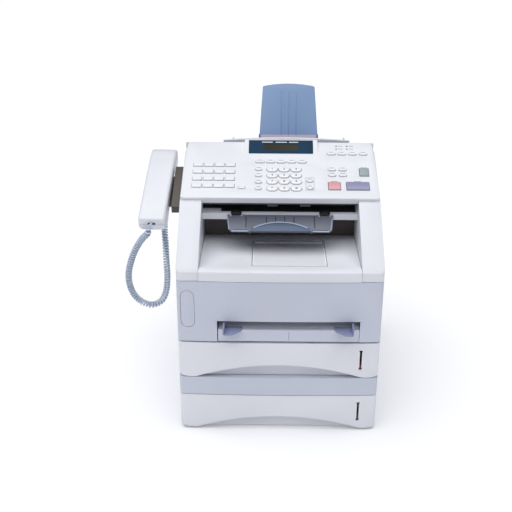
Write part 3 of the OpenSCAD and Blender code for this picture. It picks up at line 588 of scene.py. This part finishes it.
def handset_ring(t, edge_height, seam_height, corner):
    """Cross-section with two rounded outer corners and a flat side at the seam."""
    half = handset_half_width(t)
    tall = abs(edge_height - seam_height)
    sign = 1 if edge_height > seam_height else -1
    radius = max(0.2, min(corner, tall * 0.8))
    ring = [(-half, seam_height), (-half, edge_height - sign * radius)]
    for k in range(1, 9):
        angle = math.pi / 2 * k / 8
        ring.append((-half + radius * (1 - math.cos(angle)), edge_height - sign * radius * (1 - math.sin(angle))))
    for k in range(1, 8):
        x = (-half + radius) + 2 * (half - radius) * k / 8
        crown = 0.5 * (1 - (x / (half - radius)) ** 2)
        ring.append((x, edge_height + sign * crown * (0.4 if tall < 8 else 1)))
    for k in range(8, 0, -1):
        angle = math.pi / 2 * k / 8
        ring.append((half - radius * (1 - math.cos(angle)), edge_height - sign * radius * (1 - math.sin(angle))))
    ring += [(half, edge_height - sign * radius), (half, seam_height)]
    return [HANDSET @ Vector((x * MM, t * MM, n * MM)) for x, n in ring]


def build_handset():
    stations = [0, 0.6, 1.5, 3, 5, 8, 14, 20, 26, 32, 38, 42, 46, 50, 54, 58, 70, 85, 100, 115, 130, 148, 152,
                155, 158, 162, 168, 175, 181, 187, 192, 196, 199, 202, 204, 205.5, 206.6]
    back = [handset_ring(t, interpolate(BACK_PROFILE, t), SEAM + 0.35, 5.5) for t in stations]
    front = [handset_ring(t, interpolate(FRONT_PROFILE, t), SEAM - 0.35, 6.5) for t in stations]
    top = loft("handset_back", back, "handset", "handset")
    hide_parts("handset_back_shell")
    under = loft("handset_front", front, "handset", "handset")
    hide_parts("handset_front_shell")
    seam = [[HANDSET @ Vector((x * (handset_half_width(t) - 0.7) * MM, t * MM, (SEAM + n) * MM))
             for x, n in ((-1, -0.6), (-1, 0.6), (1, 0.6), (1, -0.6))] for t in (0.9, 6, 100, 200, 205.6)]
    loft("handset_seam", seam, "seam", "handset")
    points, faces = [], []
    add_slab(points, faces, HANDSET, -6.5 * MM, 6.5 * MM, -0.25 * MM, 2 * MM, -13.5 * MM, -9.0 * MM)
    make_piece("cord_notch", points, faces, "black", "handset", edge=0.4)


build_handset()


def perforations():
    """Dark sound holes in the earpiece and mouthpiece, on the handset's hidden side."""
    points, faces = [], []
    steps = 10
    from_end, circle, depth_mm = 30, 5, 1.2
    for middle in (from_end, HANDSET_LEN / MM - from_end):
        turns = [math.radians(60 * i) for i in range(6)]
        places = [(0, 0)] + [(circle * math.cos(turn), circle * math.sin(turn)) for turn in turns]
        outer = interpolate(FRONT_PROFILE, middle) - 0.45
        for x, y in places:
            first = len(points)
            for height in (outer, outer + depth_mm):
                for k in range(steps):
                    angle = 2 * math.pi * k / steps
                    points.append(HANDSET @ Vector(((x + math.cos(angle)) * MM,
                                                    (middle + y + math.sin(angle)) * MM, height * MM)))
            faces.append([first + k for k in range(steps)])
            faces.append([first + steps + k for k in range(steps)][::-1])
            for k in range(steps):
                a, b = first + k, first + (k + 1) % steps
                faces.append((a, b, b + steps, a + steps))
    make_piece("sound_holes", points, faces, "black", "handset")


perforations()


# ---- Curly cord ----

def spline(points, per_span):
    """Smooth line through given points."""
    line = []
    last = len(points) - 1
    for i in range(last):
        a, b, c, d = (Vector(points[max(0, min(last, k))]) for k in (i - 1, i, i + 1, i + 2))
        for step in range(per_span):
            u = step / per_span
            line.append(0.5 * (2 * b + (c - a) * u + (2 * a - 5 * b + 4 * c - d) * u * u
                               + (3 * b - a - 3 * c + d) * u ** 3))
    line.append(Vector(points[-1]))
    return line


def carried_frames(line):
    """Tangent and two side directions at each point, turned as little as possible from one to the next."""
    tangents = []
    for i in range(len(line)):
        tangents.append((line[min(i + 1, len(line) - 1)] - line[max(i - 1, 0)]).normalized())
    side = tangents[0].cross(Vector((0, 1, 0))).normalized()
    frames = []
    for tangent in tangents:
        side = (side - tangent * side.dot(tangent)).normalized()
        frames.append((tangent, side, tangent.cross(side)))
    return frames


def evenly(line, count):
    """The same line with count + 1 points at equal distances."""
    lengths = [0.0]
    for a, b in zip(line, line[1:]):
        lengths.append(lengths[-1] + (b - a).length)
    out, k = [], 0
    for i in range(count + 1):
        target = lengths[-1] * i / count
        while k < len(line) - 2 and lengths[k + 1] < target:
            k += 1
        span = max(lengths[k + 1] - lengths[k], 1e-9)
        out.append(line[k].lerp(line[k + 1], min(1.0, (target - lengths[k]) / span)))
    return out, lengths[-1]


def helix_line():
    middle, length = evenly(spline(CORD_ROUTE, 12), 10)
    turns = round((length - LEAD_IN) / COIL_PITCH)
    count = (turns + 3) * POINTS_PER_TURN
    middle, length = evenly(spline(CORD_ROUTE, 12), count)
    frames = carried_frames(middle)
    radius = (COIL_OUTER - STRAND) / 2
    line = []
    for i, (point, (_, side, other)) in enumerate(zip(middle, frames)):
        along = length * i / count
        opened = min(1.0, along / LEAD_IN, (length - along) / (LEAD_IN * 0.6))
        opened = opened * opened * (3 - 2 * opened)
        angle = 2 * math.pi * max(0.0, along - LEAD_IN * 0.4) / COIL_PITCH
        line.append(point + radius * opened * (math.cos(angle) * side + math.sin(angle) * other))
    return line


def cord_exit():
    """Middle of the hole in the handset's front end."""
    return HANDSET @ Vector((0, 0, -9 * MM))


def build_cord():
    strand = helix_line()
    start = cord_exit()
    lead = spline([start + (HANDSET.to_3x3() @ Vector((0, 1, 0))) * 3 * MM, start, strand[0]], 4)[:-1]
    path = lead + strand
    frames = carried_frames(path)
    sides = 8
    rings = []
    for point, (_, side, other) in zip(path, frames):
        ring = []
        for k in range(sides):
            angle = 2 * math.pi * k / sides
            ring.append(point + STRAND / 2 * (math.cos(angle) * side + math.sin(angle) * other))
        rings.append(ring)
    cord = loft("coiled_cord", rings, "cord", None)
    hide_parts("curly_cord")
    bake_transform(cord)


build_cord()


# ---- Document feeder ----

def sheet_on_slope(name, stations, material, gap=0.3 * MM, thickness=0.6 * MM):
    """Thin plate along the document chute: each station is y, z, left and right."""
    points, faces = [], []
    for y, z, left, right in stations:
        for x in (left, right):
            points += [Vector((x, y, z + gap)), Vector((x, y, z + gap + thickness))]
    for i in range(len(stations) - 1):
        a = 4 * i
        faces += [(a, a + 4, a + 6, a + 2), (a + 1, a + 3, a + 7, a + 5),
                  (a, a + 1, a + 5, a + 4), (a + 2, a + 6, a + 7, a + 3)]
    last = 4 * (len(stations) - 1)
    faces += [(0, 2, 3, 1), (last, last + 1, last + 3, last + 2)]
    make_piece(name, points, faces, material, "root")


def feeder_guide():
    """Black sheets on the lower side of the document path: painted shadow in the dark gap under the control
    panel.
    """
    def chute(y):
        """Height of the document path's lower side."""
        return 0.3675 + (y + 0.063) * 0.048 / 0.143

    wide, left_step, right_step, step_y = 0.1365, -0.104, 0.134, -0.041
    front = [(y, chute(y), left_step, right_step) for y in (-0.0615, -0.050, step_y)]
    rear = [(y, chute(y), -wide, wide) for y in (step_y, -0.010, 0.020, 0.050)]
    sheet_on_slope("feeder_shadow_front", front, "black")
    sheet_on_slope("feeder_shadow_rear", rear, "black")
    corner = [(y, chute(y), -wide, left_step) for y in (-0.0535, step_y)]
    sheet_on_slope("feeder_shadow_corner", corner, "black")


feeder_guide()


def bar_clips():
    """Black caps over the bar, above the stop tray's hinge."""
    for name, x in (("left", -0.077), ("right", 0.079)):
        points, faces = [], []
        place = Matrix.Translation((x, 0, 0))
        add_slab(points, faces, place, -9.3 * MM, 9.3 * MM, -0.0712, -0.0655, 0.3660, 0.3705)
        add_slab(points, faces, place, -9.3 * MM, 9.3 * MM, -0.0656, -0.0585, 0.3668, 0.3712)
        add_slab(points, faces, place, -4.0 * MM, 4.0 * MM, -0.0690, -0.0620, 0.3703, 0.3722)
        make_piece("bar_clip_" + name, points, faces, "black", "root", edge=0.5)


bar_clips()


def support_base():
    """Pinkish print and dark pivots at the foot of the document support."""
    place = Matrix.Translation((0.0165, 0.098, 0.449)) @ Matrix.Rotation(math.radians(60), 4, "X")
    points, faces = [], []
    add_slab(points, faces, place, -52 * MM, 52 * MM, 1.5 * MM, 7 * MM, 2.1 * MM, 2.4 * MM)
    make_piece("support_print", points, faces, "pink", "support")
    points, faces = [], []
    pivot_at, pivot_half = 54.6, 1.3
    for side in (-1, 1):
        add_slab(points, faces, place, (side * pivot_at - pivot_half) * MM, (side * pivot_at + pivot_half) * MM,
                 0.0, 8 * MM, -0.2 * MM, 3.2 * MM)
    make_piece("support_pivots", points, faces, "slate", "support", edge=0.4)


support_base()


def feed_marks():
    """Centre line on the manual feed table's front."""
    points, faces = [], []
    here = Matrix.Identity(4)
    add_slab(points, faces, here, 0.0162, 0.0168, -0.20408, -0.2038, 0.190, 0.2065)
    make_piece("feed_centre_mark", points, faces, "line", "cover")


feed_marks()


# Stop tray's own axes, as the model places it
STOP_TRAY = Matrix.Translation((0, -0.069, 0.3625)) @ Matrix.Rotation(math.radians(21), 4, "X")


def stop_tray_trim():
    """Painted shadows on the rib faces, painted highlights along the stop tray's lit edges and a painted shadow
    line just inside the lower edge.
    """
    tray = STOP_TRAY
    rib_w, highlight_w = 1.6, 1.6
    low_end, high_end = -35, -1
    points, faces = [], []
    for x in (-60, -24, -8, 8, 24, 60):
        left = x - 0.2
        add_slab(points, faces, tray, left * MM, (left + rib_w) * MM, -30 * MM, -4 * MM, 1.9 * MM, 3.2 * MM)
    make_piece("stop_tray_rib_shadows", points, faces, "slate_painted_shadow", "stop_tray")
    points, faces = [], []
    for x0, x1 in ((-84, -55), (57, 86)):
        add_slab(points, faces, tray, x0 * MM, x1 * MM, -40.3 * MM, -37.6 * MM, 2.0 * MM, 2.5 * MM)
    for side, x0 in ((-1, -91.6), (1, 90.0)):
        lean = side * 3.84 * MM
        first = len(points)
        add_slab(points, faces, tray, x0 * MM, (x0 + highlight_w) * MM, low_end * MM, high_end * MM,
                 2.0 * MM, 2.5 * MM)
        for point in points[first:]:
            along = ((tray.inverted() @ point).y / MM - low_end) / (high_end - low_end)
            point.x += lean * (along - 0.5)
    make_piece("stop_tray_highlight", points, faces, "slate_highlight", "stop_tray")
    points, faces = [], []
    for x0, x1 in ((-82, -55), (57, 84)):
        add_slab(points, faces, tray, x0 * MM, x1 * MM, -36.9 * MM, -35.4 * MM, 2.0 * MM, 2.4 * MM)
    make_piece("stop_tray_shadow_line", points, faces, "slate_painted_shadow", "stop_tray")


def stop_flap_trim():
    """Painted highlight along the flap's curved edge and a painted shadow line inside it."""
    place = STOP_TRAY @ Matrix.Translation((0.001, -0.0406, 0.0044))
    first_angle, swept, centre_drop = 56.5, 67, 64
    steps = 26
    for name, outer, inner, material in (("highlight", 86.0, 83.6, "slate_highlight"), ("line", 83.5, 82.4, "slate_painted_shadow")):
        points, faces = [], []
        for k in range(steps + 1):
            angle = math.radians(first_angle + swept * k / steps)
            for radius in (inner, outer):
                for n in (0.75, 1.05):
                    points.append(place @ Vector((radius * math.cos(angle) * MM,
                                                  (radius * math.sin(angle) - centre_drop) * MM, n * MM)))
        for k in range(steps):
            a, b = 4 * k, 4 * k + 4
            faces += [(a, a + 1, b + 1, b), (a + 2, b + 2, b + 3, a + 3),
                      (a + 1, a + 3, b + 3, b + 1), (a, b, b + 2, a + 2)]
        faces += [(0, 2, 3, 1), (4 * steps, 4 * steps + 1, 4 * steps + 3, 4 * steps + 2)]
        make_piece("stop_flap_" + name, points, faces, material, "stop_flap")


def output_flap_trim():
    """Raised ridge along the back of the stopper flap and fine strips round it, coloured as painted highlight on
    the lit lip and edges.
    """
    floor_slope = math.atan2(-13, 157)
    place = Matrix.Translation((0.0165, -0.1705, 0.3155)) @ Matrix.Rotation(floor_slope, 4, "X")
    flap_half, edge_w = 63.2 * MM, 2.0 * MM
    under, over = -0.3 * MM, 0.55 * MM
    points, faces = [], []
    add_slab(points, faces, place, -61 * MM, 61 * MM, 109 * MM, 118 * MM, -0.4 * MM, 1.5 * MM)
    make_piece("output_flap_ridge", points, faces, "highlight", "stopper_flap", edge=0.7)
    points, faces = [], []
    for x0, x1 in ((-flap_half, edge_w - flap_half), (flap_half - edge_w, flap_half)):
        add_slab(points, faces, place, x0, x1, 1.2 * MM, 120 * MM, under, over)
    add_slab(points, faces, place, -flap_half, flap_half, 0.8 * MM, 3.2 * MM, under, over)
    make_piece("output_flap_highlights", points, faces, "highlight", "stopper_flap", edge=0.2)


def oval_plate_lines():
    """Painted groove shadow on the outside and painted highlight on the inside of the oval outline on the front
    cover.
    """
    front_y, half_front, bow = -0.204, 0.175, 0.004
    bow_radius = (half_front ** 2 + bow ** 2) / (2 * bow)
    middle_x, middle_z, half_straight = -0.1565, 0.2477, 23.4
    steps = 48
    for name, outer, inner, material in (("outer", 11.9, 11.2, "seam"), ("inner", 10.8, 10.2, "highlight")):
        points, faces = [], []
        for k in range(steps):
            angle = 2 * math.pi * (k + 0.5) / steps
            lift = half_straight if math.sin(angle) > 0 else -half_straight
            for radius in (inner, outer):
                x = middle_x + radius * math.cos(angle) * MM
                z = middle_z + (lift + radius * math.sin(angle)) * MM
                y = front_y + bow_radius - math.sqrt(bow_radius ** 2 - x ** 2)
                points += [Vector((x, y - 0.00012, z)), Vector((x, y + 0.0008, z))]
        for k in range(steps):
            a, b = 4 * k, 4 * ((k + 1) % steps)
            faces += [(a, b, b + 2, a + 2), (a + 1, a + 3, b + 3, b + 1),
                      (a, a + 1, b + 1, b), (a + 2, b + 2, b + 3, a + 3)]
        make_piece("oval_plate_" + name, points, faces, material, "cover")


stop_tray_trim()
stop_flap_trim()
output_flap_trim()
oval_plate_lines()


# ---- Stage ----

def aim_camera():
    yaw, pitch, roll = (math.radians(v) for v in (CAMERA_YAW, CAMERA_PITCH, CAMERA_ROLL))
    forward = Vector((-math.sin(yaw) * math.cos(pitch), math.cos(yaw) * math.cos(pitch), -math.sin(pitch)))
    right = forward.cross(Vector((0, 0, 1))).normalized()
    up = right.cross(forward)
    turned = Matrix.Rotation(roll, 3, forward)
    camera_data = bpy.data.cameras.new("camera")
    camera_data.lens = CAMERA_LENS
    camera_data.sensor_width = 36
    camera = bpy.data.objects.new("camera", camera_data)
    camera.matrix_world = axes_at(Vector(CAMERA_AT), turned @ right, turned @ up, -forward)
    bpy.context.scene.collection.objects.link(camera)
    bpy.context.scene.camera = camera


def softbox(name, place, target, size, power, color):
    data = bpy.data.lights.new(name, "AREA")
    data.shape = "RECTANGLE"
    data.size, data.size_y = size
    data.energy = power
    data.color = color
    light = bpy.data.objects.new(name, data)
    light.location = place
    light.rotation_euler = (Vector(target) - Vector(place)).to_track_quat("-Z", "Y").to_euler()
    bpy.context.scene.collection.objects.link(light)


def build_stage():
    world = bpy.data.worlds.new("studio")
    world.use_nodes = True
    background = world.node_tree.nodes["Background"]
    background.inputs["Color"].default_value = (0.86, 0.91, 1.0, 1.0)
    background.inputs["Strength"].default_value = 0.22
    bpy.context.scene.world = world
    sun = bpy.data.lights.new("sky_light", "SUN")
    sun.energy = 2.55
    sun.angle = math.radians(75)
    sky = bpy.data.objects.new("sky_light", sun)
    sky.rotation_euler = Vector((0.12, 0.10, -1.0)).to_track_quat("-Z", "Y").to_euler()
    bpy.context.scene.collection.objects.link(sky)
    middle = (0.0, 0.0, 0.25)
    softbox("front_fill", (0.6, -2.8, 1.0), middle, (2.0, 1.2), 2.5, (0.84, 0.90, 1.0))
    bpy.ops.mesh.primitive_plane_add(size=14, location=(0, 0, 0))
    floor = bpy.context.object
    floor.name = "floor"
    paper = plastic("floor_paper", (0.93, 0.93, 0.94), roughness=0.85, tone=0.004, bump=0.02)
    paper_shader = paper.node_tree.nodes["Principled BSDF"]
    paper_shader.inputs["Emission Color"].default_value = (1.0, 1.0, 1.0, 1.0)
    paper_shader.inputs["Emission Strength"].default_value = 0.12
    floor.data.materials.append(paper)
    bpy.context.scene.view_settings.view_transform = "Standard"


aim_camera()
build_stage()
